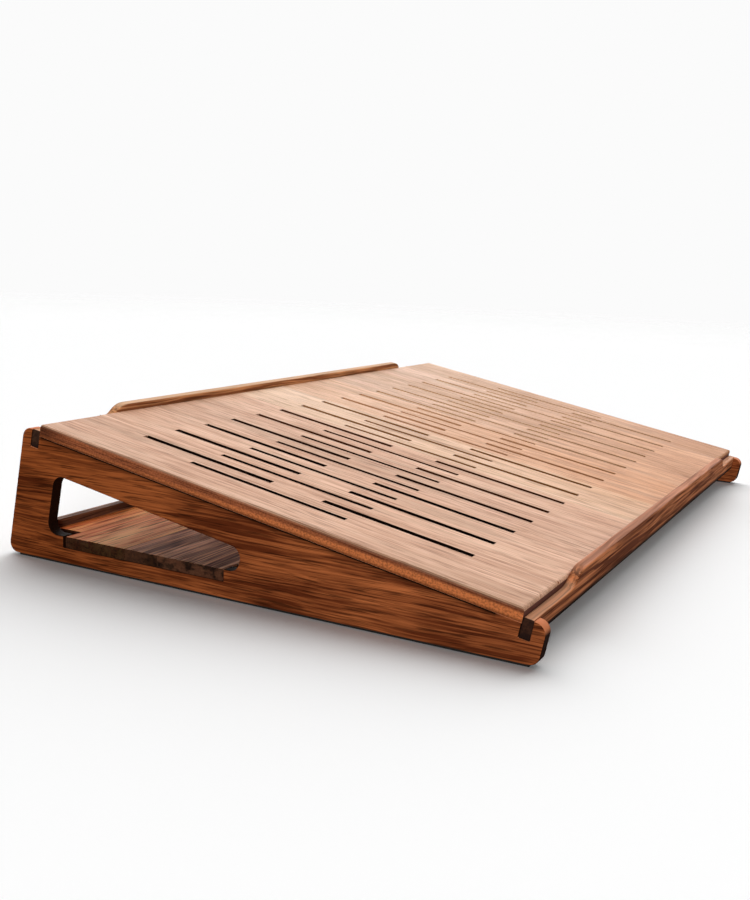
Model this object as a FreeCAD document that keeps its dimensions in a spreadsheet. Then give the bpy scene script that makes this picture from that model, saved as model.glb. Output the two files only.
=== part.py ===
import FreeCAD, Part
import math
import os

import Sketcher

# Sloping wooden laptop stand: two side panels carry a slotted, edge-glued top between two lipped rails,
# and a narrow storage shelf spans the panels' windows on through tenons.
#
# Frame: +X along the stand's width, +Y from the low front edge to the high back edge, +Z up.
# The origin lies on the desk, under the centre of the outline. "Along" is measured up the slope from
# the top's low edge, and "above" square to the slope from the top's upper surface. Heights are counted
# from the side panels' underside, which the foot strips lift off the desk.

# Driving dimensions in millimetres and degrees: alias, value, what it sets.
DIMENSIONS = [
    ("overall_width", 446.0, "outer face to outer face of the side panels"),
    ("slope_angle", 10.0, "tilt of the top"),
    ("front_height", 22.9, "underside of the side panels to the top's upper surface at its low edge"),
    ("top_length", 256.0, "top along the slope, between the rails"),
    ("top_thickness", 6.4, "thickness of the top's staves"),
    ("slot_pitch", 25.0, "spacing of like slot rows across the width"),
    ("outer_slot_width", 4.0, "width of the slots in the paired rows"),
    ("outer_slot_length", 77.0, "length of the slots in the paired rows"),
    ("lower_slot_start", 37.5, "low end of the lower slot of a pair, along the slope"),
    ("upper_slot_start", 143.0, "low end of the upper slot of a pair, along the slope"),
    ("middle_slot_width", 3.2, "width of the slots in the single rows"),
    ("middle_slot_length", 86.5, "length of the slots in the single rows"),
    ("middle_slot_start", 95.0, "low end of a single slot, along the slope"),
    ("side_thickness", 6.4, "thickness of the side panels"),
    ("side_overhang", 5.8, "side panel beyond the outer face of each rail"),
    ("side_corner_radius", 4.8, "rounding of the side panels' four corners"),
    ("shoulder_drop", 4.0, "top's upper surface down to the rails' low ends and the side panels' ears"),
    ("rail_thickness", 4.8, "thickness of the front and back rails"),
    ("rail_seat_depth", 6.4, "depth of the notches that hold the rail ends, below the top's underside"),
    ("lip_height", 3.5, "rise of the rails' middle above the top's upper surface"),
    ("lip_inset", 50.8, "outer face to the foot of the lip's slanted end"),
    ("lip_slant", 7.6, "horizontal run of the lip's slanted end"),
    ("lip_curve_radius", 11.6, "the two curves that blend the slanted end"),
    ("window_back_margin", 23.2, "wood between the window and the back edge"),
    ("window_length", 112.0, "window along the slope"),
    ("window_top_margin", 15.8, "wood between the window and the panel's sloping edge"),
    ("window_corner_radius", 5.6, "rounding of the window's corners"),
    ("shelf_top_height", 13.2, "underside of the side panels to the shelf's upper face and the window sill"),
    ("shelf_thickness", 5.6, "thickness of the shelf's staves"),
    ("shelf_front_width", 52.8, "front stave of the shelf"),
    ("shelf_middle_width", 19.2, "middle stave of the shelf"),
    ("shelf_back_width", 52.0, "back stave of the shelf"),
    ("shelf_setback", 18.2, "back edge of the side panels, at desk level, to the shelf's back lip"),
    ("shelf_side_gap", 4.4, "side panel to the shelf's shoulder"),
    ("tenon_inset", 15.0, "shelf's front and back edges to its tenons"),
    ("tenon_play", 1.5, "free length of the sill slot behind the tenon"),
    ("shelf_lip_thickness", 4.8, "thickness of the strip along the shelf's back edge"),
    ("shelf_lip_height", 4.0, "rise of that strip above the shelf"),
    ("foot_thickness", 1.0, "thickness of the anti-slip strips under the side panels"),
    ("foot_width", 5.2, "strips across the side panels"),
    ("foot_inset", 6.0, "front and back ends of the side panels' outline to the strips"),
    ("shortest_straight", 0.1, "straight left between two curves where an outline has little room"),
    ("cutter_reach", 1.5, "cutters beyond the faces that they open"),
]

# The top's staves from left to right, each as the number of slot rows that it holds.
ROWS_PER_STAVE = [2, 4, 3, 3, 4, 3, 2, 3, 3, 4, 2]

doc = FreeCAD.newDocument("laptop_stand")
sheet = doc.addObject("Spreadsheet::Sheet", "Dims")


def fill_sheet():
    """One row per driving dimension: its meaning, and its value under an alias."""
    for row, (alias, value, meaning) in enumerate(DIMENSIONS, start=1):
        sheet.set("A%d" % row, meaning)
        sheet.set("B%d" % row, str(value))
        sheet.setAlias("B%d" % row, alias)
    doc.recompute()


def number(expression):
    """The present value of an expression of the sheet."""
    return float(sheet.evalExpression(expression))


# Places that follow from the driving dimensions, as expressions of the sheet.

COS = "cos(Dims.slope_angle)"
SIN = "sin(Dims.slope_angle)"
TAN = "tan(Dims.slope_angle)"

HALF_WIDTH = "(Dims.overall_width / 2)"
NOSE_ALONG = "(-Dims.rail_thickness - Dims.side_overhang)"
TAIL_ALONG = "(Dims.top_length + Dims.rail_thickness + Dims.side_overhang)"
UNDER_TOP = "(-Dims.top_thickness)"
EAR_ABOVE = "(-Dims.shoulder_drop)"
SEAT_ABOVE = "(-Dims.top_thickness - Dims.rail_seat_depth)"


def slope_y(along, above):
    """Distance behind the top's low edge of a point given along and above the slope."""
    return "((%s) * %s - (%s) * %s)" % (along, COS, above, SIN)


def slope_z(along, above):
    """Height over the side panels' underside of a point given along and above the slope."""
    return "(Dims.front_height + (%s) * %s + (%s) * %s)" % (along, SIN, above, COS)


def level_y(along, height):
    """Distance behind the top's low edge where the square line at "along" passes a height."""
    return "((%s) / %s + (Dims.front_height - (%s)) * %s)" % (along, COS, height, TAN)


RADIUS = "Dims.side_corner_radius"
NOSE_CENTRE = ("%s + %s" % (NOSE_ALONG, RADIUS), "%s - %s" % (EAR_ABOVE, RADIUS))
NOSE_REACH = "(%s - %s)" % (slope_y(*NOSE_CENTRE), RADIUS)
TAIL_REACH = "(%s + %s)" % (level_y("%s - %s" % (TAIL_ALONG, RADIUS), RADIUS), RADIUS)
LOW_EDGE_Y = "(-(%s + %s) / 2)" % (NOSE_REACH, TAIL_REACH)

SHELF_BACK = "(%s - Dims.shelf_setback - Dims.shelf_lip_thickness)" % level_y(TAIL_ALONG, "0")
SHELF_BACK_JOINT = "(%s - Dims.shelf_back_width)" % SHELF_BACK
SHELF_FRONT_JOINT = "(%s - Dims.shelf_middle_width)" % SHELF_BACK_JOINT
SHELF_FRONT = "(%s - Dims.shelf_front_width)" % SHELF_FRONT_JOINT
TENON_FRONT = "(%s + Dims.tenon_inset)" % SHELF_FRONT
TENON_BACK = "(%s - Dims.tenon_inset)" % SHELF_BACK
SHELF_UNDER = "(Dims.shelf_top_height - Dims.shelf_thickness)"
SHOULDER_X = "(%s - Dims.side_thickness - Dims.shelf_side_gap)" % HALF_WIDTH


# Sketching helpers.


def corner_cut(before, corner, after, radius):
    """Centre and the two tangent points of an arc that rounds a corner of an outline."""
    to_before = (before - corner).normalize()
    to_after = (after - corner).normalize()
    half_angle = to_before.getAngle(to_after) / 2
    setback = radius / math.tan(half_angle)
    middle = (to_before + to_after).normalize()
    centre = corner + middle * (radius / math.sin(half_angle))
    return centre, corner + to_before * setback, corner + to_after * setback


def corner_arc(centre, start, end):
    """The shorter arc about a centre from one tangent point to the other, and whether it runs backwards."""
    first = math.atan2(start.y - centre.y, start.x - centre.x)
    last = math.atan2(end.y - centre.y, end.x - centre.x)
    backwards = math.sin(last - first) < 0
    if backwards:
        first, last = last, first
    circle = Part.Circle(centre, FreeCAD.Vector(0, 0, 1), centre.distanceToPoint(start))
    return Part.ArcOfCircle(circle, first, last), backwards


def bind(sketch, constraint, expression):
    """Add a constraint whose value follows the sheet."""
    index = sketch.addConstraint(constraint)
    sketch.setExpression("Constraints[%d]" % index, expression)


def pin_point(sketch, geometry, end, across, up):
    """Hold one point of the sketch at two expressions, measured from the sketch's origin."""
    bind(sketch, Sketcher.Constraint("DistanceX", geometry, end, number(across)), across)
    bind(sketch, Sketcher.Constraint("DistanceY", geometry, end, number(up)), up)


def outline(sketch, corners):
    """Closed outline through corners (across, up, radius), where radius None leaves a sharp corner."""
    points = [FreeCAD.Vector(number(across), number(up), 0) for across, up, radius in corners]
    count = len(corners)
    cuts = []
    for index, (across, up, radius) in enumerate(corners):
        if radius is None:
            cuts.append((None, points[index], points[index]))
        else:
            before, after = points[index - 1], points[(index + 1) % count]
            cuts.append(corner_cut(before, points[index], after, number(radius)))
    lines = []
    for index in range(count):
        segment = Part.LineSegment(cuts[index][2], cuts[(index + 1) % count][1])
        lines.append(sketch.addGeometry(segment, False))
    for index, (across, up, radius) in enumerate(corners):
        came, goes = lines[index - 1], lines[index]
        if radius is None:
            sketch.addConstraint(Sketcher.Constraint("Coincident", came, 2, goes, 1))
            pin_point(sketch, goes, 1, across, up)
        else:
            round_corner(sketch, cuts[index], points[index], came, goes, corners[index])


def round_corner(sketch, cut, point, came, goes, corner):
    """Arc between two lines of an outline, about a construction point that marks the sharp corner."""
    across, up, radius = corner
    shape, backwards = corner_arc(*cut)
    arc = sketch.addGeometry(shape, False)
    first, last = (2, 1) if backwards else (1, 2)
    mark = sketch.addGeometry(Part.Point(point), True)
    sketch.addConstraint(Sketcher.Constraint("Tangent", came, 2, arc, first))
    sketch.addConstraint(Sketcher.Constraint("Tangent", goes, 1, arc, last))
    sketch.addConstraint(Sketcher.Constraint("PointOnObject", mark, 1, came))
    sketch.addConstraint(Sketcher.Constraint("PointOnObject", mark, 1, goes))
    pin_point(sketch, mark, 1, across, up)
    bind(sketch, Sketcher.Constraint("Radius", arc, number(radius)), radius)


def new_body(name):
    """An empty body that becomes one piece of wood."""
    body = doc.addObject("PartDesign::Body", name)
    body.Label = name
    return body


def new_sketch(body, name, role):
    """A sketch on one of the body's own origin planes."""
    plane = [item for item in body.Origin.OriginFeatures if item.Role == role][0]
    sketch = body.newObject("Sketcher::SketchObject", "%s_%s" % (body.Name, name))
    sketch.AttachmentSupport = [(plane, "")]
    sketch.MapMode = "FlatFace"
    doc.recompute()
    return sketch


def pad(body, sketch, length):
    """Solid made from an outline, of a thickness that follows the sheet."""
    feature = body.newObject("PartDesign::Pad", sketch.Name + "_pad")
    feature.Profile = sketch
    feature.setExpression("Length", length)
    doc.recompute()
    return feature


def cut_through(body, sketch):
    """Opening cut both ways through the body, checked to have removed wood."""
    before = body.Shape.Volume
    feature = body.newObject("PartDesign::Pocket", sketch.Name + "_pocket")
    feature.Profile = sketch
    feature.Type = "ThroughAll"
    feature.Midplane = True
    doc.recompute()
    if body.Shape.Volume >= before:
        raise RuntimeError(feature.Name + " cut nothing")


def move(piece, across, back, up):
    """Position of a piece or cutter in the frame that it is modelled in."""
    piece.setExpression("Placement.Base.x", across)
    piece.setExpression("Placement.Base.y", back)
    piece.setExpression("Placement.Base.z", up)


def stand(piece, across, back, height):
    """Place a piece in the stand: back from the top's low edge, and up from the panels' underside."""
    move(piece, across, "%s + (%s)" % (LOW_EDGE_Y, back), "Dims.foot_thickness + (%s)" % height)


def tilt(piece):
    """Turn a piece about X so that its own Y axis runs up the slope."""
    piece.Placement = FreeCAD.Placement(FreeCAD.Vector(), FreeCAD.Vector(1, 0, 0), 1)
    piece.setExpression("Placement.Rotation.Angle", "Dims.slope_angle")


def box(name, sizes):
    """Block with its sizes bound to the sheet."""
    solid = doc.addObject("Part::Box", name)
    for side, expression in zip(("Length", "Width", "Height"), sizes):
        solid.setExpression(side, expression)
    return solid


def block(name, sizes, across, back, height):
    """A plain rectangular piece, placed in the stand by its near lower left corner."""
    piece = box(name, sizes)
    piece.Label = name
    stand(piece, across, back, height)
    return piece


# Side panels: wedge-shaped boards with a window, a bed for the top with notches for the rail ends, and
# a slot for the shelf's tenon in the window's sill. Their sketches lie in the YZ plane, and Y starts
# at the top's low edge.


def panel_outline():
    """Wedge whose front and back edges are square to the sloping edge."""
    return [
        (slope_y(NOSE_ALONG, EAR_ABOVE), slope_z(NOSE_ALONG, EAR_ABOVE), RADIUS),
        (level_y(NOSE_ALONG, "0"), "0", RADIUS),
        (level_y(TAIL_ALONG, "0"), "0", RADIUS),
        (slope_y(TAIL_ALONG, EAR_ABOVE), slope_z(TAIL_ALONG, EAR_ABOVE), RADIUS),
    ]


def window_outline():
    """Window with a level sill, a head along the slope and ends square to the slope."""
    back = "(%s - Dims.window_back_margin)" % TAIL_ALONG
    front = "(%s - Dims.window_length)" % back
    head = "(%s - Dims.window_top_margin)" % UNDER_TOP
    sill = "Dims.shelf_top_height"
    front_rise = "((%s - %s) / %s)" % (slope_z(front, head), sill, COS)
    room = "(1 + 1 / tan(45 + Dims.slope_angle / 2))"
    limit = "(%s / %s - Dims.shortest_straight)" % (front_rise, room)
    front_radius = "min(Dims.window_corner_radius; %s)" % limit
    return [
        (slope_y(front, head), slope_z(front, head), front_radius),
        (level_y(front, sill), sill, front_radius),
        (level_y(back, sill), sill, "Dims.window_corner_radius"),
        (slope_y(back, head), slope_z(back, head), "Dims.window_corner_radius"),
    ]


def seat_outline():
    """Bed for the top, with a deeper notch at each end that holds a rail, open at the sloping edge."""
    front, back = "(-Dims.rail_thickness)", "(Dims.top_length + Dims.rail_thickness)"
    steps = [
        (front, "0"),
        (front, SEAT_ABOVE),
        ("0", SEAT_ABOVE),
        ("0", UNDER_TOP),
        ("Dims.top_length", UNDER_TOP),
        ("Dims.top_length", SEAT_ABOVE),
        (back, SEAT_ABOVE),
        (back, "0"),
    ]
    return [(slope_y(along, above), slope_z(along, above), None) for along, above in steps]


def tenon_slot_outline():
    """Slot in the sill, as deep as the shelf is thick, open into the window."""
    back = "(%s + Dims.tenon_play)" % TENON_BACK
    mouth = "(Dims.shelf_top_height + Dims.cutter_reach)"
    return [
        (TENON_FRONT, mouth, None),
        (TENON_FRONT, SHELF_UNDER, None),
        (back, SHELF_UNDER, None),
        (back, mouth, None),
    ]


def side_panel(name, left_face):
    """One side panel, from the X of its left face."""
    body = new_body(name)
    sketch = new_sketch(body, "outline", "YZ_Plane")
    outline(sketch, panel_outline())
    pad(body, sketch, "Dims.side_thickness")
    cuts = {
        "window": window_outline(),
        "seat": seat_outline(),
        "tenon_slot": tenon_slot_outline(),
    }
    for cut_name, corners in cuts.items():
        sketch = new_sketch(body, cut_name, "YZ_Plane")
        outline(sketch, corners)
        cut_through(body, sketch)
    stand(body, left_face, "0", "0")
    return body


# Rails: two identical strips on edge. Their low ends lie in the side panels' notches, flush with the
# panels' ears, and their middle rises above the top as a lip with S-shaped ends.


def rail_outline():
    """Rail seen square to its face: X across the stand, Y square to the slope."""
    foot_x = "(%s - Dims.lip_inset)" % HALF_WIDTH
    crest_x = "(%s - Dims.lip_slant)" % foot_x
    rise = "(Dims.lip_height + Dims.shoulder_drop)"
    half_turn = "(atan2(%s; Dims.lip_slant) / 2)" % rise
    slant = "sqrt(%s ^ 2 + Dims.lip_slant ^ 2)" % rise
    limit = "(%s / 2 / tan(%s) - Dims.shortest_straight)" % (slant, half_turn)
    curve = "min(Dims.lip_curve_radius; %s)" % limit
    right = [
        (HALF_WIDTH, SEAT_ABOVE, None),
        (HALF_WIDTH, EAR_ABOVE, None),
        (foot_x, EAR_ABOVE, curve),
        (crest_x, "Dims.lip_height", curve),
    ]
    left = [("-" + across, up, radius) for across, up, radius in reversed(right)]
    return right + left


def rail(name, inner_along):
    """One rail, from the place along the slope of the face that looks up the slope."""
    body = new_body(name)
    sketch = new_sketch(body, "outline", "XZ_Plane")
    outline(sketch, rail_outline())
    pad(body, sketch, "Dims.rail_thickness")
    tilt(body)
    stand(body, "0", slope_y(inner_along, "0"), slope_z(inner_along, "0"))
    return body


# Top: edge-glued staves with their grain up the slope. The slots lie in rows half a pitch apart:
# paired slots in every second row, a single longer slot in the rows between.


def slot(name, row_x, kind, start):
    """Cutter for one slot of a kind, centred on its row."""
    width = "Dims.%s_slot_width" % kind
    depth = "Dims.top_thickness + 2 * Dims.cutter_reach"
    cutter = box(name, (width, "Dims.%s_slot_length" % kind, depth))
    move(cutter, "%s - %s / 2" % (row_x, width), start, "%s - Dims.cutter_reach" % UNDER_TOP)
    return cutter


def row_slots(stave_name, row):
    """The slots of one row, counted from the middle row: even rows are single, odd rows are paired."""
    row_x = "(%d * Dims.slot_pitch / 2)" % row
    label = "%s_row_%s%d" % (stave_name, "left" if row < 0 else "right", abs(row))
    if row % 2 == 0:
        return [slot(label + "_middle", row_x, "middle", "Dims.middle_slot_start")]
    lower = slot(label + "_lower", row_x, "outer", "Dims.lower_slot_start")
    upper = slot(label + "_upper", row_x, "outer", "Dims.upper_slot_start")
    return [lower, upper]


def top_stave(name, left, right, rows):
    """One stave between two glue joints, with the slots of its rows."""
    board = box(name + "_board", ("%s - %s" % (right, left), "Dims.top_length", "Dims.top_thickness"))
    move(board, left, "0", UNDER_TOP)
    cutters = [cutter for row in rows for cutter in row_slots(name, row)]
    tool = doc.addObject("Part::Compound", name + "_slots")
    tool.Links = cutters
    stave = doc.addObject("Part::Cut", name)
    stave.Base = board
    stave.Tool = tool
    stave.Label = name
    tilt(stave)
    stand(stave, "0", "0", "Dims.front_height")
    return stave


def top_staves():
    """All staves from left to right, jointed midway between slot rows."""
    row = -(sum(ROWS_PER_STAVE) // 2)
    left = "(-%s)" % HALF_WIDTH
    staves = []
    for index, count in enumerate(ROWS_PER_STAVE, start=1):
        rows = range(row, row + count)
        row += count
        right = HALF_WIDTH if index == len(ROWS_PER_STAVE) else "((%d - 0.5) * Dims.slot_pitch / 2)" % row
        staves.append(top_stave("top_stave_%02d" % index, left, right, rows))
        left = right
    return staves


# Shelf: three staves edge-glued along X, with a tenon at each end that drops into the sill slots,
# and a strip along the back edge that keeps things on the shelf.


def shelf_stave(name, reach):
    """One stave whose half length follows "reach": pairs of Y and half length, front to back."""
    body = new_body(name)
    sketch = new_sketch(body, "outline", "XY_Plane")
    right = [(half, where, None) for where, half in reach]
    left = [("-" + half, where, None) for where, half in reversed(reach)]
    outline(sketch, right + left)
    pad(body, sketch, "Dims.shelf_thickness")
    stand(body, "0", "0", SHELF_UNDER)
    return body


def shelf():
    """The shelf's staves and its back strip."""
    front_reach = [
        (SHELF_FRONT, SHOULDER_X),
        (TENON_FRONT, SHOULDER_X),
        (TENON_FRONT, HALF_WIDTH),
        (SHELF_FRONT_JOINT, HALF_WIDTH),
    ]
    middle_reach = [(SHELF_FRONT_JOINT, HALF_WIDTH), (SHELF_BACK_JOINT, HALF_WIDTH)]
    back_reach = [
        (SHELF_BACK_JOINT, HALF_WIDTH),
        (TENON_BACK, HALF_WIDTH),
        (TENON_BACK, SHOULDER_X),
        (SHELF_BACK, SHOULDER_X),
    ]
    sizes = ("2 * " + SHOULDER_X, "Dims.shelf_lip_thickness", "Dims.shelf_thickness + Dims.shelf_lip_height")
    return [
        shelf_stave("shelf_front_stave", front_reach),
        shelf_stave("shelf_middle_stave", middle_reach),
        shelf_stave("shelf_back_stave", back_reach),
        block("shelf_back_lip", sizes, "-" + SHOULDER_X, SHELF_BACK, SHELF_UNDER),
    ]


# Feet: a thin rubber strip under each side panel, nearly as long as the panel's flat underside.


def foot(name, middle_x):
    """One strip, centred under a side panel's thickness."""
    front = "(%s + Dims.foot_inset)" % NOSE_REACH
    back = "(%s - Dims.foot_inset)" % TAIL_REACH
    sizes = ("Dims.foot_width", "%s - %s" % (back, front), "Dims.foot_thickness")
    return block(name, sizes, "%s - Dims.foot_width / 2" % middle_x, front, "-Dims.foot_thickness")


def feet():
    """The two strips."""
    return [
        foot("left_foot_strip", "(-%s + Dims.side_thickness / 2)" % HALF_WIDTH),
        foot("right_foot_strip", "(%s - Dims.side_thickness / 2)" % HALF_WIDTH),
    ]


def check(pieces):
    """Stop if a feature failed or a piece is not one valid solid."""
    doc.recompute()
    for item in doc.Objects:
        if "Invalid" in item.State or "Error" in item.State:
            raise RuntimeError("%s is %s" % (item.Name, item.State))
    for piece in pieces:
        shape = piece.Shape
        if shape.isNull() or not shape.isValid() or len(shape.Solids) != 1:
            raise RuntimeError("%s is not one valid solid" % piece.Label)


def write(pieces):
    """One STEP file for each piece."""
    os.makedirs("parts", exist_ok=True)
    for piece in pieces:
        piece.Shape.exportStep("parts/%s.step" % piece.Label)
        bounds = piece.Shape.BoundBox
        print("%-20s %9.1f mm3  x %7.1f %7.1f  y %7.1f %7.1f  z %6.1f %6.1f" % (
            piece.Label, piece.Shape.Volume, bounds.XMin, bounds.XMax, bounds.YMin, bounds.YMax,
            bounds.ZMin, bounds.ZMax))


fill_sheet()
built = [
    side_panel("left_side_panel", "-" + HALF_WIDTH),
    side_panel("right_side_panel", "%s - Dims.side_thickness" % HALF_WIDTH),
    rail("front_rail", "0"),
    rail("back_rail", "(Dims.top_length + Dims.rail_thickness)"),
]
built += top_staves()
built += shelf()
built += feet()
check(built)
write(built)
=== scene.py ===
import math

import bpy
import numpy as np
from mathutils import Euler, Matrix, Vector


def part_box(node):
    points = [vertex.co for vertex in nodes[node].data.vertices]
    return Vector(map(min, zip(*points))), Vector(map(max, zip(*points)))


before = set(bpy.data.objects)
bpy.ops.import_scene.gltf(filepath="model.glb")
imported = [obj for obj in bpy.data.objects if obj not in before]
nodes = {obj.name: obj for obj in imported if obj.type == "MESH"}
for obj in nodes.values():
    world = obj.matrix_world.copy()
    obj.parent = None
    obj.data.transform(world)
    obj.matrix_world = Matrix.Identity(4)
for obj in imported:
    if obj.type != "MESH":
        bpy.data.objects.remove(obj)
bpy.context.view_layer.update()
scene = bpy.context.scene
scene.view_settings.view_transform = "Standard"


# ---------------------------------------------------------------------------------------------------
# Studio: a pale sheet of paper, one broad soft light high behind the stand, a weaker one low at its
# left, and a camera that looks low along the slope from the stand's left front.

CAMERA_PLACE = (-0.61107, -0.26381, 0.15687)
CAMERA_TURN = (79.746, -2.488, -62.267)
CAMERA_LENS = 52.12
FILM_WIDTH = 36.0
BACK_LIGHT = {"bearing": 24, "elevation": 38, "spread": 84, "level": 0.845}
LEFT_LIGHT = {"bearing": 208, "elevation": 10, "spread": 16, "level": 0.09}
WHITE = (1, 1, 1, 1)
PAPER_WHITE = 0.965
PAPER_BOUNCE = 0.35
SKY_LIGHT = 0.10
PAPER_HALF = 4.0
PAPER_FADE = (1.5, 3.0)

camera_data = bpy.data.cameras.new("camera")
camera_data.sensor_fit = "HORIZONTAL"
camera_data.sensor_width = FILM_WIDTH
camera_data.lens = CAMERA_LENS
camera = bpy.data.objects.new("camera", camera_data)
camera.location = CAMERA_PLACE
camera.rotation_euler = Euler([math.radians(angle) for angle in CAMERA_TURN])
scene.collection.objects.link(camera)
scene.camera = camera


def soft_light(name, bearing, elevation, spread, level):
    """A broad even light from a bearing (0 is +X, 90 is +Y). White paper laid flat shows its level."""
    lamp = bpy.data.lights.new(name, "SUN")
    lamp.angle = math.radians(spread)
    lamp.energy = level * math.pi / math.sin(math.radians(elevation))
    holder = bpy.data.objects.new(name, lamp)
    holder.rotation_euler = (math.radians(90 - elevation), 0, math.radians(bearing + 90))
    scene.collection.objects.link(holder)


def level_by_ray(add, join, bounced, seen):
    """One level for the light that something gives off, another for what the camera sees of it."""
    path = add("ShaderNodeLightPath")
    level = add("ShaderNodeMapRange")
    level.inputs["To Min"].default_value = bounced
    level.inputs["To Max"].default_value = seen
    join(path.outputs["Is Camera Ray"], level.inputs["Value"])
    return level.outputs["Result"]


def new_material(name):
    """An empty node material, with its node maker and its linker."""
    material = bpy.data.materials.new(name)
    material.use_nodes = True
    material.node_tree.nodes.clear()
    return material, material.node_tree.nodes.new, material.node_tree.links.new


def band(add, join, value, low, high):
    """Value carried smoothly from 0 at low to 1 at high."""
    node = add("ShaderNodeMapRange")
    node.interpolation_type = "SMOOTHSTEP"
    node.inputs["From Min"].default_value = low
    node.inputs["From Max"].default_value = high
    join(value, node.inputs["Value"])
    return node.outputs["Result"]


soft_light("back_light", **BACK_LIGHT)
soft_light("left_light", **LEFT_LIGHT)

world = bpy.data.worlds.new("studio")
scene.world = world
world.use_nodes = True
world.node_tree.nodes.clear()
add, join = world.node_tree.nodes.new, world.node_tree.links.new
strength = level_by_ray(add, join, SKY_LIGHT, PAPER_WHITE)
sky = add("ShaderNodeBackground")
sky.inputs["Color"].default_value = WHITE
join(strength, sky.inputs["Strength"])
join(sky.outputs[0], add("ShaderNodeOutputWorld").inputs["Surface"])

# The paper is white to the eye, bounces less light than white paper would, and fades into the
# background before its edge.
paper, add, join = new_material("paper")
bounce = level_by_ray(add, join, PAPER_BOUNCE, PAPER_WHITE)
face = add("ShaderNodeBsdfDiffuse")
join(bounce, face.inputs["Color"])
reach = add("ShaderNodeVectorMath")
reach.operation = "LENGTH"
join(add("ShaderNodeTexCoord").outputs["Object"], reach.inputs[0])
fade = band(add, join, reach.outputs["Value"], *PAPER_FADE)
mix = add("ShaderNodeMixShader")
join(fade, mix.inputs[0])
join(face.outputs[0], mix.inputs[1])
join(add("ShaderNodeBsdfTransparent").outputs[0], mix.inputs[2])
join(mix.outputs[0], add("ShaderNodeOutputMaterial").inputs["Surface"])
corners = PAPER_HALF * np.array([(-1, -1, 0), (1, -1, 0), (1, 1, 0), (-1, 1, 0)])
sheet = bpy.data.meshes.new("paper")
sheet.from_pydata(corners.tolist(), [], [(0, 1, 2, 3)])
sheet.materials.append(paper)
floor = bpy.data.objects.new("paper", sheet)
scene.collection.objects.link(floor)


# ---------------------------------------------------------------------------------------------------
# Side panels: two wedge-shaped boards of red-brown walnut, grain level along the desk, sawn with a
# window and notches. Sawn edges are painted dark, partly darker end grain and partly painted shade,
# with a painted highlight where they face up near the panel's ends, and every arris is eased by hand.
# Each panel is painted darker toward its back, as shade. The top is glued on their sloping edges,
# with a painted shadow line along the joint and painted shade fading below it.


def linear(red, green, blue):
    """Scene-linear colour of a tone given in 0 to 255 display steps."""
    steps = np.array([red, green, blue]) / 255
    curve = np.where(steps <= 0.04045, steps / 12.92, ((steps + 0.055) / 1.055) ** 2.4)
    return (*curve.tolist(), 1.0)


def effect_group(name, inputs, outputs):
    """Shader node group with named sockets: (name, kind, default) for inputs, (name, kind) for outputs."""
    group = bpy.data.node_groups.new(name, "ShaderNodeTree")
    for label, kind, value in inputs:
        socket = group.interface.new_socket(label, in_out="INPUT", socket_type="NodeSocket" + kind)
        if value is not None:
            socket.default_value = value
    for label, kind in outputs:
        group.interface.new_socket(label, in_out="OUTPUT", socket_type="NodeSocket" + kind)
    add, join = group.nodes.new, group.links.new
    return group, add, join, add("NodeGroupInput").outputs, add("NodeGroupOutput").inputs


def stretch(add, join, source, amounts):
    """A vector scaled by three amounts."""
    node = add("ShaderNodeVectorMath")
    node.operation = "MULTIPLY"
    node.inputs[1].default_value = amounts
    join(source, node.inputs[0])
    return node.outputs[0]


def calculate(add, join, operation, first, second=None, third=None):
    """One Math node, whose inputs are sockets or plain numbers."""
    node = add("ShaderNodeMath")
    node.operation = operation
    for index, value in enumerate((first, second, third)):
        if isinstance(value, bpy.types.NodeSocket):
            join(value, node.inputs[index])
        elif value is not None:
            node.inputs[index].default_value = value
    return node.outputs[0]


def product(add, join, first, second):
    """Two values multiplied."""
    return calculate(add, join, "MULTIPLY", first, second)


def unsigned(add, join, value):
    """A value without its sign."""
    return calculate(add, join, "ABSOLUTE", value)


def noise(add, join, source, detail, roughness=0.55, scale=None, output="Fac"):
    """A noise texture on a vector that is already scaled, and scaled further by a socket where given."""
    node = add("ShaderNodeTexNoise")
    node.inputs["Scale"].default_value = 1.0
    if scale:
        join(scale, node.inputs["Scale"])
    node.inputs["Detail"].default_value = detail
    node.inputs["Roughness"].default_value = roughness
    join(source, node.inputs["Vector"])
    return node.outputs[output]


def blend_colour(add, join, factor, first, second, kind="MIX"):
    """Mix of two colours by a factor, each a socket or a plain value."""
    node = add("ShaderNodeMix")
    node.data_type = "RGBA"
    node.blend_type = kind
    for index, value in ((0, factor), (6, first), (7, second)):
        if isinstance(value, bpy.types.NodeSocket):
            join(value, node.inputs[index])
        else:
            node.inputs[index].default_value = value
    return node.outputs[2]


# Layers of the walnut's figure: repeats in a metre along the grain and across it, detail, roughness.
FIGURE_LAYERS = {
    "bend": ((9, 45, 45), 2.0, 0.5),
    "broad": ((6, 150, 150), 2.0, 0.6),
    "fine": ((20, 1200, 1200), 4.0, 0.6),
    "hair": ((8, 1250, 1250), 1.0, 0.55),
    "patch": ((7, 110, 110), 2.0, 0.55),
    "cloud": ((14, 40, 40), 3.0, 0.55),
    "dash": ((60, 1900, 1900), 2.0, 0.55),
    "stain": ((9, 70, 70), 2.0, 0.55),
}
# Values of a layer's noise between which it fades in.
NOISE_SPREAD = (0.28, 0.72)
HAIR_CUT = (0.55, 0.63)
PATCH_CUT = (0.36, 0.6)
DASH_CUT = (0.5, 0.66)
STAIN_CUT = (0.5, 0.7)
MID_TONE = 0.5
# Growth rings: how far noise bends them, how they waver, and where the saw-tooth rises and falls.
RING_BEND = (0, 0.006, 0.006)
RING_WAVER = {"Distortion": 1.2, "Detail": 2.0, "Detail Scale": 0.35}
RING_RISE = (0.3, 0.93)
RING_FALL = (1.0, 0.93)
RING_MEAN = 0.3
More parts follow.
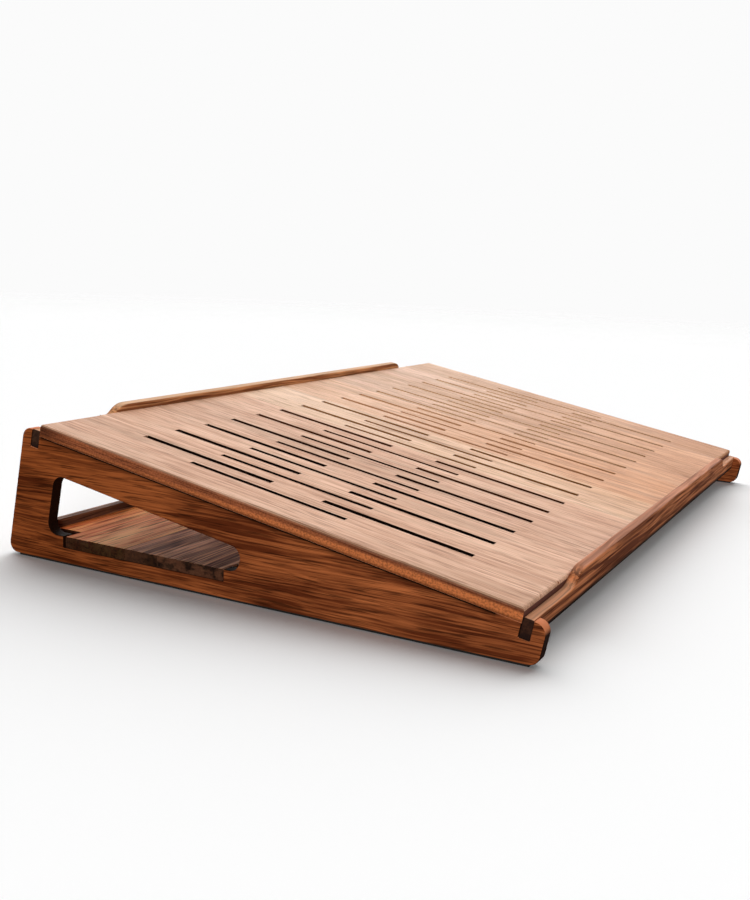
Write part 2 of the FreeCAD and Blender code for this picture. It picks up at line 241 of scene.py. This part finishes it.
# Roughness of pale wood, with what dark wood and pores add, and how deep pores and dark wood lie.
WOOD_ROUGHNESS = 0.46
DARK_ROUGHNESS = 0.1
PORE_ROUGHNESS = 0.25
PORE_DEPTH = 0.7
DARK_DEPTH = 0.3


def layer(add, join, source, name, scale=None, output="Fac"):
    """Noise of one layer of the figure."""
    repeats, detail, roughness = FIGURE_LAYERS[name]
    return noise(add, join, stretch(add, join, source, repeats), detail, roughness, scale, output)


def centred(add, join, value, amount):
    """A noise value spread about zero and scaled by an amount."""
    spread = band(add, join, value, *NOISE_SPREAD)
    return product(add, join, calculate(add, join, "SUBTRACT", spread, MID_TONE), amount)


def bent_place(add, join, place):
    """The place of a point, moved across the grain by slow noise."""
    slow = layer(add, join, place, "bend", output="Color")
    bend = add("ShaderNodeVectorMath")
    bend.operation = "MULTIPLY_ADD"
    bend.inputs[1].default_value = RING_BEND
    join(slow, bend.inputs[0])
    join(place, bend.inputs[2])
    return bend.outputs[0]


def ring_tone(add, join, bent, given):
    """Growth rings: a saw-tooth of the distance from the pith, which rises slowly and falls at once."""
    rings = add("ShaderNodeTexWave")
    rings.wave_type = "RINGS"
    rings.rings_direction = "X"
    rings.wave_profile = "SAW"
    for label, value in RING_WAVER.items():
        rings.inputs[label].default_value = value
    join(bent, rings.inputs["Vector"])
    join(given["Ring Scale"], rings.inputs["Scale"])
    rise = band(add, join, rings.outputs["Fac"], *RING_RISE)
    fall = band(add, join, rings.outputs["Fac"], *RING_FALL)
    ring = calculate(add, join, "SUBTRACT", product(add, join, rise, fall), RING_MEAN)
    return calculate(add, join, "MULTIPLY_ADD", ring, given["Rings"], MID_TONE)


def streak_tone(add, join, tone, bent, given):
    """The tone with streaks along the grain: broad ones, fine ones, and hairlines that come in patches."""
    broad = layer(add, join, bent, "broad")
    tone = calculate(add, join, "ADD", tone, centred(add, join, broad, given["Broad"]))
    fine = layer(add, join, bent, "fine", given["Grain Scale"])
    tone = calculate(add, join, "ADD", tone, centred(add, join, fine, given["Fine"]))
    hair = layer(add, join, bent, "hair", given["Grain Scale"])
    patch = layer(add, join, bent, "patch")
    lines = product(add, join, band(add, join, hair, *HAIR_CUT), band(add, join, patch, *PATCH_CUT))
    return calculate(add, join, "MULTIPLY_ADD", lines, given["Lines"], tone)


def make_walnut():
    """Solid walnut round a pith line along X: growth rings, broad and fine streaks, clouding, pores.

    Rings: distance from the pith, bent by slow noise, as a saw-tooth of the ring width. Streaks and
    pores: noise drawn out along X, the pores cut off to short dark dashes. The tone, from pale to
    dark, is their sum.
    """
    group, add, join, given, result = effect_group(
        "walnut",
        [
            ("Vector", "Vector", None),
            ("Pale", "Color", (0.3, 0.15, 0.07, 1)),
            ("Dark", "Color", (0.12, 0.05, 0.02, 1)),
            ("Pore Colour", "Color", (0.03, 0.012, 0.006, 1)),
            ("Tint", "Color", (0.2, 0.16, 0.12, 1)),
            ("Ring Scale", "Float", 90.0),
            ("Grain Scale", "Float", 1.0),
            ("Rings", "Float", 0.5),
            ("Broad", "Float", 0.5),
            ("Fine", "Float", 0.5),
            ("Lines", "Float", 0.5),
            ("Clouds", "Float", 0.3),
            ("Pores", "Float", 0.5),
            ("Tints", "Float", 0.0),
        ],
        [("Color", "Color"), ("Roughness", "Float"), ("Height", "Float")],
    )
    bent = bent_place(add, join, given["Vector"])
    tone = ring_tone(add, join, bent, given)
    tone = streak_tone(add, join, tone, bent, given)
    cloud = layer(add, join, given["Vector"], "cloud")
    tone = calculate(add, join, "ADD", tone, centred(add, join, cloud, given["Clouds"]))
    limit = add("ShaderNodeClamp")
    join(tone, limit.inputs["Value"])
    tone = limit.outputs[0]
    dashes = layer(add, join, bent, "dash", given["Grain Scale"])
    pores = product(add, join, band(add, join, dashes, *DASH_CUT), given["Pores"])
    wood = blend_colour(add, join, tone, given["Pale"], given["Dark"])
    stain = layer(add, join, given["Vector"], "stain")
    stain = product(add, join, band(add, join, stain, *STAIN_CUT), given["Tints"])
    wood = blend_colour(add, join, stain, wood, given["Tint"])
    join(blend_colour(add, join, pores, wood, given["Pore Colour"]), result["Color"])
    roughness = calculate(add, join, "MULTIPLY_ADD", tone, DARK_ROUGHNESS, WOOD_ROUGHNESS)
    join(calculate(add, join, "MULTIPLY_ADD", pores, PORE_ROUGHNESS, roughness), result["Roughness"])
    height = calculate(add, join, "MULTIPLY_ADD", pores, -PORE_DEPTH, PORE_DEPTH)
    join(calculate(add, join, "MULTIPLY_ADD", tone, -DARK_DEPTH, height), result["Height"])
    return group


walnut = make_walnut()


def wood_texture(add, join, turn, shift, tones, amounts):
    """The walnut group on Object coordinates, turned so that its X runs along this board's grain."""
    place = add("ShaderNodeTexCoord")
    mapping = add("ShaderNodeMapping")
    mapping.vector_type = "POINT"
    mapping.inputs["Rotation"].default_value = [math.radians(angle) for angle in turn]
    mapping.inputs["Location"].default_value = shift
    join(place.outputs["Object"], mapping.inputs["Vector"])
    wood = add("ShaderNodeGroup")
    wood.node_tree = walnut
    join(mapping.outputs[0], wood.inputs["Vector"])
    for label, value in zip(("Pale", "Dark", "Pore Colour", "Tint"), tones):
        wood.inputs[label].default_value = value
    for label, value in amounts.items():
        wood.inputs[label].default_value = value
    return wood


def place_parts(add, join):
    """X, Y and Z of a point of the stand."""
    parts = add("ShaderNodeSeparateXYZ")
    join(add("ShaderNodeTexCoord").outputs["Object"], parts.inputs[0])
    return parts.outputs[0], parts.outputs[1], parts.outputs[2]


def facing(add, join, axis):
    """How squarely a face looks along an axis: 1 along it, 0 across it, -1 the other way."""
    place = add("ShaderNodeTexCoord")
    dot = add("ShaderNodeVectorMath")
    dot.operation = "DOT_PRODUCT"
    dot.inputs[1].default_value = axis
    join(place.outputs["Normal"], dot.inputs[0])
    return dot.outputs["Value"]


SLOPE_DEGREES = 10
SLOPE = math.radians(SLOPE_DEGREES)


def climb(add, join, along, height):
    """Height of a point over the slope that runs through the origin: Z, less what the slope rises by Y."""
    return calculate(add, join, "MULTIPLY_ADD", along, -math.tan(SLOPE), height)


RELIEF_STRENGTH = 0.35
SURFACE_IOR = 1.45


def finish(add, join, colour, roughness, height, relief, gloss):
    """The surface shader of oiled wood or rubber: its colour, roughness, fine relief and gloss."""
    bump = add("ShaderNodeBump")
    bump.inputs["Strength"].default_value = RELIEF_STRENGTH
    bump.inputs["Distance"].default_value = relief
    join(height, bump.inputs["Height"])
    surface = add("ShaderNodeBsdfPrincipled")
    surface.inputs["IOR"].default_value = SURFACE_IOR
    surface.inputs["Specular IOR Level"].default_value = gloss
    join(colour, surface.inputs["Base Color"])
    join(roughness, surface.inputs["Roughness"])
    join(bump.outputs[0], surface.inputs["Normal"])
    join(surface.outputs[0], add("ShaderNodeOutputMaterial").inputs["Surface"])


def dress(node, material):
    """Give a piece its material."""
    for slot in nodes[node].material_slots:
        slot.link = "OBJECT"
        slot.material = material


WELD_REACH = 1e-6
LEVEL_ANGLE = math.radians(0.5)
SHARP_ANGLE = math.radians(40)
EASE_STEPS = 3


def ease(node, width, weights=None):
    """Round a piece's sharp edges: weld its facets, join level ones, then bevel, by weight where given."""
    board = nodes[node]
    weld = board.modifiers.new("weld", "WELD")
    weld.merge_threshold = WELD_REACH
    level = board.modifiers.new("level", "DECIMATE")
    level.decimate_type = "DISSOLVE"
    level.angle_limit = LEVEL_ANGLE
    if weights:
        board.modifiers.new("weights", "NODES").node_group = weights
    bevel = board.modifiers.new("ease", "BEVEL")
    bevel.width = width
    bevel.segments = EASE_STEPS
    bevel.limit_method = "WEIGHT" if weights else "ANGLE"
    bevel.angle_limit = SHARP_ANGLE
    bevel.use_clamp_overlap = False


# Below, a SPAN is the two places between which a mask fades in, a FACING is the two values of facing()
# between which it does, and a COVER is the most that a mask reaches.
ACROSS = (1, 0, 0)
UP = (0, 0, 1)
TOP_LOW, TOP_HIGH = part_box("top_stave_01")
TOP_UNDER = TOP_LOW[2] - TOP_LOW[1] * math.tan(SLOPE)
SIDE_GRAIN = (0, 0, 90)
SIDE_PITH = (0.0, 0.03, 0.045)
SIDE_TONES = (linear(204, 116, 66), linear(108, 50, 25), linear(50, 20, 9))
SIDE_FIGURE = {
    "Ring Scale": 60.0, "Grain Scale": 0.8, "Rings": 0.15, "Broad": 0.3, "Fine": 0.9, "Lines": 0.45,
    "Clouds": 0.8, "Pores": 0.7,
}
# Painted shade: each panel's colour is darkened toward its back.
SIDE_BACK_PAINTED_SHADE = (0.6, 0.52, 0.4, 1)
SIDE_BACK_SPAN = (-0.12, 0.15)
SIDE_RELIEF = 0.0003
SIDE_GLOSS = 0.015
SIDE_EASE = 0.0004
# Sawn edges: a dark tone, partly darker end grain and partly painted shade.
SAWN_TONE = linear(26, 14, 10)
SAWN_COVER = 0.96
SAWN_FACING = (0.97, 0.75)
# Painted highlight: sawn edges that face up near the panel's ends, at the nose and the ear, are painted
# light.
SAWN_UP_HIGHLIGHT = linear(214, 130, 88)
SAWN_HIGHLIGHT_FACING = (-0.1, 0.5)
SAWN_HIGHLIGHT_SPAN = (0.118, 0.124)
# Painted shade under the top's edge: a dark shadow line right below the joint, and a softer band of shade
# fading down the panel.
JOINT_SHADE_TONE = linear(30, 11, 4)
JOINT_SHADOW_LINE_SPAN = (0.0013, 0.0006)
TOP_SHADE_SPAN = (0.0035, 0.0006)
TOP_SHADE_COVER = 0.45
JOINT_SHADE_END_FADE = 0.001

side_wood, add, join = new_material("side_walnut")
wood = wood_texture(add, join, SIDE_GRAIN, SIDE_PITH, SIDE_TONES, SIDE_FIGURE)
# Sawn edges: a dark tone with painted shade, and a painted highlight where they face up near the ends.
sawn = band(add, join, unsigned(add, join, facing(add, join, ACROSS)), *SAWN_FACING)
up = band(add, join, facing(add, join, UP), *SAWN_HIGHLIGHT_FACING)
_, along, height = place_parts(add, join)
end = band(add, join, unsigned(add, join, along), *SAWN_HIGHLIGHT_SPAN)
sawn_colour = blend_colour(add, join, product(add, join, up, end), SAWN_TONE, SAWN_UP_HIGHLIGHT)
# Painted shade toward the back of the panel.
toward_back = band(add, join, along, *SIDE_BACK_SPAN)
colour = blend_colour(add, join, toward_back, wood.outputs["Color"], SIDE_BACK_PAINTED_SHADE, "MULTIPLY")
colour = blend_colour(add, join, product(add, join, sawn, SAWN_COVER), colour, sawn_colour)
# Painted shade under the top's edge, along the joint: a dark line and a softer band below it.
below = calculate(add, join, "SUBTRACT", TOP_UNDER, climb(add, join, along, height))
under_top = band(add, join, unsigned(add, join, along), TOP_HIGH[1], TOP_HIGH[1] - JOINT_SHADE_END_FADE)
top_shade = product(add, join, band(add, join, below, *TOP_SHADE_SPAN), TOP_SHADE_COVER)
joint_shade = calculate(add, join, "MAXIMUM", top_shade, band(add, join, below, *JOINT_SHADOW_LINE_SPAN))
colour = blend_colour(add, join, product(add, join, under_top, joint_shade), colour, JOINT_SHADE_TONE)
finish(add, join, colour, wood.outputs["Roughness"], wood.outputs["Height"], SIDE_RELIEF, SIDE_GLOSS)
for node in ("left_side_panel", "right_side_panel"):
    dress(node, side_wood)
    ease(node, SIDE_EASE)


# ---------------------------------------------------------------------------------------------------
# Rails: a strip of walnut on edge at the front and at the back, tenoned through the side panels. The
# upper edge rises to a lip and is painted paler where it faces up, as painted sheen and light; the
# bottom edge is painted near-black as shade, and the ends show dark end grain. The back rail is
# painted paler than the front, as light thrown on it by the top.

UP_SLOPE = (0, -math.sin(SLOPE), math.cos(SLOPE))
RAIL_GRAIN = (-SLOPE_DEGREES, 0, 0)
RAIL_PITH = (0.3, 0.02)
RAIL_PORES = linear(45, 22, 12)
RAIL_FIGURE = {
    "Ring Scale": 75.0, "Grain Scale": 0.45, "Rings": 0.1, "Broad": 0.4, "Fine": 1.1, "Lines": 1.3,
    "Clouds": 0.4, "Pores": 0.5,
}
# Painted sheen and light: the lip's crest, where it faces up the slope, is painted paler, with its own
# tone past the lip's ends.
LIP_END = 0.168
LIP_END_FADE = 0.004
LOW_END_TONE = linear(200, 152, 118)
CREST_FACING = (0.7, 0.95)
CREST_COVER = 0.55
# Painted shade: the bottom edge of each rail is painted near-black.
RAIL_BOTTOM_SHADE = linear(12, 7, 5)
RAIL_UNDER_FADE = 0.004
RAIL_UNDER_FULL = 0.001
RAIL_END = linear(42, 27, 23)
RAIL_END_FADE = 0.0009
RAIL_END_FULL = 0.0006
RAIL_END_COVER = 0.95
RAIL_RELIEF = 0.0003
RAIL_GLOSS = 0.02
RAIL_EASE = 0.0007
# Each rail's pale and dark tones, the tone of its lip's crest, and where in the log it was cut. The
# back rail's paler tones are painted light, for the light the top throws on its inner face.
RAILS = {
    "front_rail": ((226, 140, 90), (116, 62, 38), (178, 122, 94), 0.01),
    "back_rail": ((236, 168, 114), (150, 92, 58), (226, 190, 156), 0.05),
}

for node, (pale, dark, lip_tone, depth) in RAILS.items():
    rail_wood, add, join = new_material(node + "_walnut")
    tones = (linear(*pale), linear(*dark), RAIL_PORES)
    wood = wood_texture(add, join, RAIL_GRAIN, (*RAIL_PITH, depth), tones, RAIL_FIGURE)
    rail_low, rail_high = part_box(node)
    bottom, tip = rail_low[2], rail_high[0]
    across, _, height = place_parts(add, join)
    # Painted sheen and light on the crest.
    low_end = band(add, join, unsigned(add, join, across), LIP_END - LIP_END_FADE, LIP_END)
    crest_sheen_tone = blend_colour(add, join, low_end, linear(*lip_tone), LOW_END_TONE)
    crest_sheen = product(add, join, band(add, join, facing(add, join, UP_SLOPE), *CREST_FACING), CREST_COVER)
    colour = blend_colour(add, join, crest_sheen, wood.outputs["Color"], crest_sheen_tone)
    # Painted shade along the rail's bottom edge.
    bottom_shade = band(add, join, height, bottom + RAIL_UNDER_FADE, bottom + RAIL_UNDER_FULL)
    colour = blend_colour(add, join, bottom_shade, colour, RAIL_BOTTOM_SHADE)
    end = band(add, join, unsigned(add, join, across), tip - RAIL_END_FADE, tip - RAIL_END_FULL)
    colour = blend_colour(add, join, product(add, join, end, RAIL_END_COVER), colour, RAIL_END)
    finish(add, join, colour, wood.outputs["Roughness"], wood.outputs["Height"], RAIL_RELIEF, RAIL_GLOSS)
    dress(node, rail_wood)
    ease(node, RAIL_EASE)


# ---------------------------------------------------------------------------------------------------
# Top: eleven edge-glued walnut staves, grain up the slope, each from its own board, glued down on the
# side panels between the rails. The face is painted pale for the light and sheen it catches, the
# sawn edges are darker, and the slots' walls are painted with shade and light.

TO_FRONT = (0, -1, 0)
# Face tones, painted pale for the light and sheen that the face catches.
STAVE_TONES = {
    "rose": (linear(230, 184, 153), linear(200, 150, 120)),
    "tan": (linear(234, 188, 156), linear(205, 155, 125)),
    "cream": (linear(246, 209, 179), linear(227, 187, 154)),
    "amber": (linear(247, 203, 170), linear(220, 171, 136)),
    "honey": (linear(233, 191, 160), linear(204, 160, 128)),
    "straw": (linear(246, 206, 177), linear(218, 174, 146)),
}
# From left to right, each stave's tones and the tone of its slots' walls. The walls' tones, near-black
# at the left and pale at the right, are painted shade and light.
STAVES = [
    ("rose", (20, 9, 4)),
    ("tan", (20, 9, 4)),
    ("rose", (42, 17, 6)),
    ("tan", (78, 38, 16)),
    ("cream", (168, 112, 66)),
    ("amber", (222, 156, 110)),
    ("amber", (236, 172, 124)),
    ("straw", (248, 196, 150)),
    ("honey", (248, 196, 150)),
    ("straw", (248, 196, 150)),
    ("honey", (248, 196, 150)),
]
STAVE_PORES = linear(120, 76, 54)
STAVE_TINT = linear(186, 146, 116)
STAVE_FIGURE = {
    "Ring Scale": 50.0, "Grain Scale": 0.7, "Rings": 0.25, "Broad": 0.15, "Fine": 0.7, "Lines": 1.7,
    "Clouds": 0.5, "Pores": 0.5, "Tints": 0.5,
}
STAVE_GRAIN = (-SLOPE_DEGREES, 0, 90)
STAVE_RELIEF = 0.0002
STAVE_GLOSS = 0.08
TOP_FACING = (0.02, 0.25)
FRONT_SPAN = (0.13, -0.13)
# Painted shade: toward the front, and more to the right, the face is darkened and warmed, so the back
# keeps a paler sheen.
FRONT_SHADE_TINT = (0.85, 0.64, 0.44, 1)
FRONT_SHADE_ACROSS = (-0.12, 0.05)
# Staves come from a log in turn: each a step further along it, at one of five depths, taken out of
# order, and one of three heights.
LOG_STEP = 0.37
FIRST_DEPTH = 0.06
DEPTH_STEP = 0.013
DEPTHS = 5
DEPTH_STRIDE = 7
FIRST_HEIGHT = 0.02
HEIGHT_STEP = 0.03
HEIGHTS = 3


def log_place(number):
    """Where in its log a stave was cut, so that no two neighbours show the same figure."""
    depth = FIRST_DEPTH + DEPTH_STEP * (number * DEPTH_STRIDE % DEPTHS)
    height = FIRST_HEIGHT + HEIGHT_STEP * (number % HEIGHTS)
    return LOG_STEP * number, depth, height


# Outer edges: painted dark above and bright below a brink, which climbs toward the front, as painted
# light and shade. They are flecked all over, and painted with shade at the foot and near the back.
EDGE_TONES = (linear(184, 104, 64), linear(140, 76, 47), linear(70, 32, 19))
EDGE_FIGURE = {
    "Ring Scale": 60.0, "Rings": 0.2, "Broad": 0.4, "Fine": 1.1, "Lines": 0.5, "Clouds": 0.9, "Pores": 0.7,
}
EDGE_LOW_TONE = linear(238, 138, 79)
EDGE_LOW_COVER_CLIMB = 0.45
EDGE_LOW_COVER_BACK = 0.4
BRINK_CLIMB = 0.0026
BRINK_BACK = 0.0012
BRINK_SPAN = (0.0006, -0.0006)
# The front end faces: darker end grain, with painted shade on it too.
EDGE_FRONT_TONE = linear(104, 64, 54)
EDGE_FRONT_FACING = (0.5, 0.8)
FLECK_TONE = linear(64, 30, 18)
FLECK_REPEATS = (1300, 1000, 1300)
FLECK_DETAIL = 3.0
FLECK_CUT = (0.4, 0.65)
FLECK_COVER = 0.45
EDGE_SHADE_TINT = (0.4, 0.38, 0.36, 1)
EDGE_SHADE_FOOT_SPAN = (0.0014, 0.0002)
EDGE_SHADE_BACK_SPAN = (0.095, 0.12)
EDGE_SHADE_COVER = 0.9


def object_noise(add, join, repeats, detail):
    """Noise on Object coordinates, with its repeats in a metre."""
    place = add("ShaderNodeTexCoord")
    return noise(add, join, stretch(add, join, place.outputs["Object"], repeats), detail)


def edge_zones(add, join, along, height):
    """Masks from 0 to 1: how far to the front a point is, how low on the outer edge, how much painted
    shade.
    """
    rise = calculate(add, join, "SUBTRACT", climb(add, join, along, height), TOP_UNDER)
    front = band(add, join, along, *FRONT_SPAN)
    brink = calculate(add, join, "MULTIPLY_ADD", front, BRINK_CLIMB, BRINK_BACK)
    low = band(add, join, calculate(add, join, "SUBTRACT", rise, brink), *BRINK_SPAN)
    foot = band(add, join, rise, *EDGE_SHADE_FOOT_SPAN)
    back = band(add, join, along, *EDGE_SHADE_BACK_SPAN)
    return front, low, product(add, join, calculate(add, join, "MAXIMUM", foot, back), EDGE_SHADE_COVER)


def edge_colour(add, join, edge_wood, front, low, edge_shade):
    """Colour of the top's outer edges, with painted light and shade."""
    cover = calculate(add, join, "MULTIPLY_ADD", front, EDGE_LOW_COVER_CLIMB, EDGE_LOW_COVER_BACK)
    bright = product(add, join, low, cover)
    colour = blend_colour(add, join, bright, edge_wood.outputs["Color"], EDGE_LOW_TONE)
    fleck = band(add, join, object_noise(add, join, FLECK_REPEATS, FLECK_DETAIL), *FLECK_CUT)
    colour = blend_colour(add, join, product(add, join, fleck, FLECK_COVER), colour, FLECK_TONE)
    colour = blend_colour(add, join, edge_shade, colour, EDGE_SHADE_TINT, "MULTIPLY")
    at_front = band(add, join, facing(add, join, TO_FRONT), *EDGE_FRONT_FACING)
    return blend_colour(add, join, at_front, colour, EDGE_FRONT_TONE)


# Slots: their walls are painted darker toward the front of the top as shade, and painted near-black
# as shade where they face right.
SLOTS_SIDE_SPAN = (0.219, 0.217)
SLOTS_NEAR_SPAN = (-0.115, -0.112)
SLOTS_FAR_SPAN = (0.113, 0.110)
SLOT_FRONT_SHADE = (0.6, 0.55, 0.5, 1)
SLOT_SHADE_BLACK = linear(20, 10, 6)
SLOT_SHADE_FACING = (-0.5, 0.5)


def slot_zone(add, join, across, along):
    """1 over the part of the top that has slots, 0 at its outer edges."""
    inside = band(add, join, unsigned(add, join, across), *SLOTS_SIDE_SPAN)
    near = band(add, join, along, *SLOTS_NEAR_SPAN)
    far = band(add, join, along, *SLOTS_FAR_SPAN)
    return product(add, join, inside, product(add, join, near, far))


def slot_colour(add, join, tone, front):
    """Colour of the slots' walls, painted shade and light."""
    wall = blend_colour(add, join, front, tone, SLOT_FRONT_SHADE, "MULTIPLY")
    shaded_side = band(add, join, facing(add, join, ACROSS), *SLOT_SHADE_FACING)
    return blend_colour(add, join, shaded_side, wall, SLOT_SHADE_BLACK)


# Easing: the top's upper outline is rounded by the full width, and its other sharp edges, at the
# joints and the slots, by a small share of it.
OUTLINE_EASE = 0.0015
JOINT_SHARE = 0.06
OUTLINE_REACH_ACROSS = 0.0005
OUTLINE_REACH_ALONG = 0.0015
UPPER_RISE = 0.005


def make_outline_weights():
    """Bevel weights: 1 on the upper outline of the top, JOINT_SHARE on other sharp edges, 0 if level."""
    group = bpy.data.node_groups.new("outline_weights", "GeometryNodeTree")
    group.interface.new_socket("Stave", in_out="INPUT", socket_type="NodeSocketGeometry")
    group.interface.new_socket("Stave", in_out="OUTPUT", socket_type="NodeSocketGeometry")
    add, join = group.nodes.new, group.links.new
    parts = add("ShaderNodeSeparateXYZ")
    join(add("GeometryNodeInputPosition").outputs[0], parts.inputs[0])
    across, along, height = parts.outputs[0], parts.outputs[1], parts.outputs[2]
    aside = unsigned(add, join, across)
    side = calculate(add, join, "GREATER_THAN", aside, -TOP_LOW[0] - OUTLINE_REACH_ACROSS)
    front = calculate(add, join, "LESS_THAN", along, TOP_LOW[1] + OUTLINE_REACH_ALONG)
    back = calculate(add, join, "GREATER_THAN", along, TOP_HIGH[1] - OUTLINE_REACH_ALONG)
    outer = calculate(add, join, "MAXIMUM", side, calculate(add, join, "MAXIMUM", front, back))
    upper = calculate(add, join, "GREATER_THAN", climb(add, join, along, height), TOP_UNDER + UPPER_RISE)
    share = calculate(add, join, "MAXIMUM", product(add, join, outer, upper), JOINT_SHARE)
    turn = add("GeometryNodeInputMeshEdgeAngle").outputs["Unsigned Angle"]
    sharp = calculate(add, join, "GREATER_THAN", turn, SHARP_ANGLE)
    store = add("GeometryNodeStoreNamedAttribute")
    store.data_type = "FLOAT"
    store.domain = "EDGE"
    store.inputs["Name"].default_value = "bevel_weight_edge"
    join(add("NodeGroupInput").outputs[0], store.inputs["Geometry"])
    join(product(add, join, share, sharp), store.inputs["Value"])
    join(store.outputs[0], add("NodeGroupOutput").inputs[0])
    return group


outline_weights = make_outline_weights()

for number, (tone_name, slot_tone) in enumerate(STAVES, start=1):
    name = "top_stave_%02d" % number
    stave_wood, add, join = new_material("top_walnut_%02d" % number)
    tones = (*STAVE_TONES[tone_name], STAVE_PORES, STAVE_TINT)
    wood = wood_texture(add, join, STAVE_GRAIN, log_place(number), tones, STAVE_FIGURE)
    edge_wood = wood_texture(add, join, STAVE_GRAIN, log_place(number), EDGE_TONES, EDGE_FIGURE)
    across, along, height = place_parts(add, join)
    slots = slot_zone(add, join, across, along)
    front, low_edge, edge_shade = edge_zones(add, join, along, height)
    # Faces that look up the slope take the face tones, painted light and sheen.
    lit_face = band(add, join, unsigned(add, join, facing(add, join, UP_SLOPE)), *TOP_FACING)
    sawn_colour = edge_colour(add, join, edge_wood, front, low_edge, edge_shade)
    # Slot walls: painted shade and light.
    wall_colour = slot_colour(add, join, linear(*slot_tone), front)
    sawn_colour = blend_colour(add, join, slots, sawn_colour, wall_colour)
    # Painted shade on the face toward the front.
    front_shade = product(add, join, front, band(add, join, across, *FRONT_SHADE_ACROSS))
    face_colour = blend_colour(add, join, front_shade, wood.outputs["Color"], FRONT_SHADE_TINT, "MULTIPLY")
    colour = blend_colour(add, join, lit_face, sawn_colour, face_colour)
    finish(add, join, colour, wood.outputs["Roughness"], wood.outputs["Height"], STAVE_RELIEF, STAVE_GLOSS)
    dress(name, stave_wood)
    ease(name, OUTLINE_EASE, outline_weights)


# ---------------------------------------------------------------------------------------------------
# Shelf: three edge-glued staves of dark walnut, grain across the stand, tenoned through both window
# sills, with an upright strip glued along the back edge. End grain is dark and blotched, and the glue
# joints are dark too.

TO_BACK = (0, 1, 0)
SHELF_GRAIN = (0, 0, 0)
SHELF_PITH = (0.1, 0.03)
SHELF_PORES = linear(34, 20, 16)
SHELF_FIGURE = {
    "Ring Scale": 45.0, "Grain Scale": 0.6, "Rings": 0.3, "Broad": 0.3, "Clouds": 1.0, "Pores": 0.7,
}
SHELF_END_DARK = linear(24, 15, 12)
SHELF_END_FACING = (0.2, 0.5)
SHELF_END_COVER = 0.95
BLOTCH_REPEATS = (90, 90, 160)
BLOTCH_DETAIL = 4.0
BLOTCH_CUT = (0.45, 0.55)
JOINT_TONE = linear(22, 14, 12)
JOINT_FACING = (0.15, 0.5)
SHELF_RELIEF = 0.0003
SHELF_GLOSS = 0.025
SHELF_EASE = 0.0003
# Each piece's pale, dark and end-grain tones, where in the log it was cut, how strongly it is
# streaked, and how dark its joints are. The staves' tones are set pale, the back stave's palest,
# partly their own colour and partly painted light for the light that reaches the shelf through the
# windows.
SHELF_PIECES = {
    "shelf_front_stave": ((240, 166, 120), (134, 80, 56), (84, 52, 37), 0.03, 1.4, 0.6),
    "shelf_middle_stave": ((222, 142, 90), (120, 68, 42), (62, 39, 28), 0.05, 1.2, 0.6),
    "shelf_back_stave": ((255, 180, 100), (212, 110, 56), (44, 29, 22), 0.09, 0.9, 0.6),
    "shelf_back_lip": ((176, 120, 86), (80, 50, 36), (80, 50, 36), 0.02, 0.5, 0.0),
}

for node, (pale, dark, end_tone, depth, streaks, joint) in SHELF_PIECES.items():
    shelf_wood, add, join = new_material(node + "_walnut")
    tones = (linear(*pale), linear(*dark), SHELF_PORES)
    figure = {**SHELF_FIGURE, "Fine": streaks, "Lines": streaks}
    wood = wood_texture(add, join, SHELF_GRAIN, (SHELF_PITH[0], depth, SHELF_PITH[1]), tones, figure)
    end = band(add, join, unsigned(add, join, facing(add, join, ACROSS)), *SHELF_END_FACING)
    blotch = band(add, join, object_noise(add, join, BLOTCH_REPEATS, BLOTCH_DETAIL), *BLOTCH_CUT)
    end_colour = blend_colour(add, join, blotch, linear(*end_tone), SHELF_END_DARK)
    end = product(add, join, end, SHELF_END_COVER)
    colour = blend_colour(add, join, end, wood.outputs["Color"], end_colour)
    joined = band(add, join, unsigned(add, join, facing(add, join, TO_BACK)), *JOINT_FACING)
    colour = blend_colour(add, join, product(add, join, joined, joint), colour, JOINT_TONE)
    finish(add, join, colour, wood.outputs["Roughness"], wood.outputs["Height"], SHELF_RELIEF, SHELF_GLOSS)
    dress(node, shelf_wood)
    ease(node, SHELF_EASE)


# ---------------------------------------------------------------------------------------------------
# Feet: a thin black rubber strip stuck under each side panel, which keeps the boards off the desk and
# the stand from sliding.

FOOT_BLACK = linear(24, 22, 21)
FOOT_GREY = linear(44, 42, 40)
FOOT_REPEATS = (900, 900, 900)
FOOT_DETAIL = 3.0
FOOT_ROUGHNESS = 0.6
SPECK_ROUGHNESS = 0.3
FOOT_RELIEF = 0.0001
FOOT_GLOSS = 0.3
FOOT_EASE = 0.0001

rubber, add, join = new_material("foot_rubber")
speck = object_noise(add, join, FOOT_REPEATS, FOOT_DETAIL)
colour = blend_colour(add, join, speck, FOOT_BLACK, FOOT_GREY)
roughness = calculate(add, join, "MULTIPLY_ADD", speck, SPECK_ROUGHNESS, FOOT_ROUGHNESS)
finish(add, join, colour, roughness, speck, FOOT_RELIEF, FOOT_GLOSS)
for node in ("left_foot_strip", "right_foot_strip"):
    dress(node, rubber)
    ease(node, FOOT_EASE)
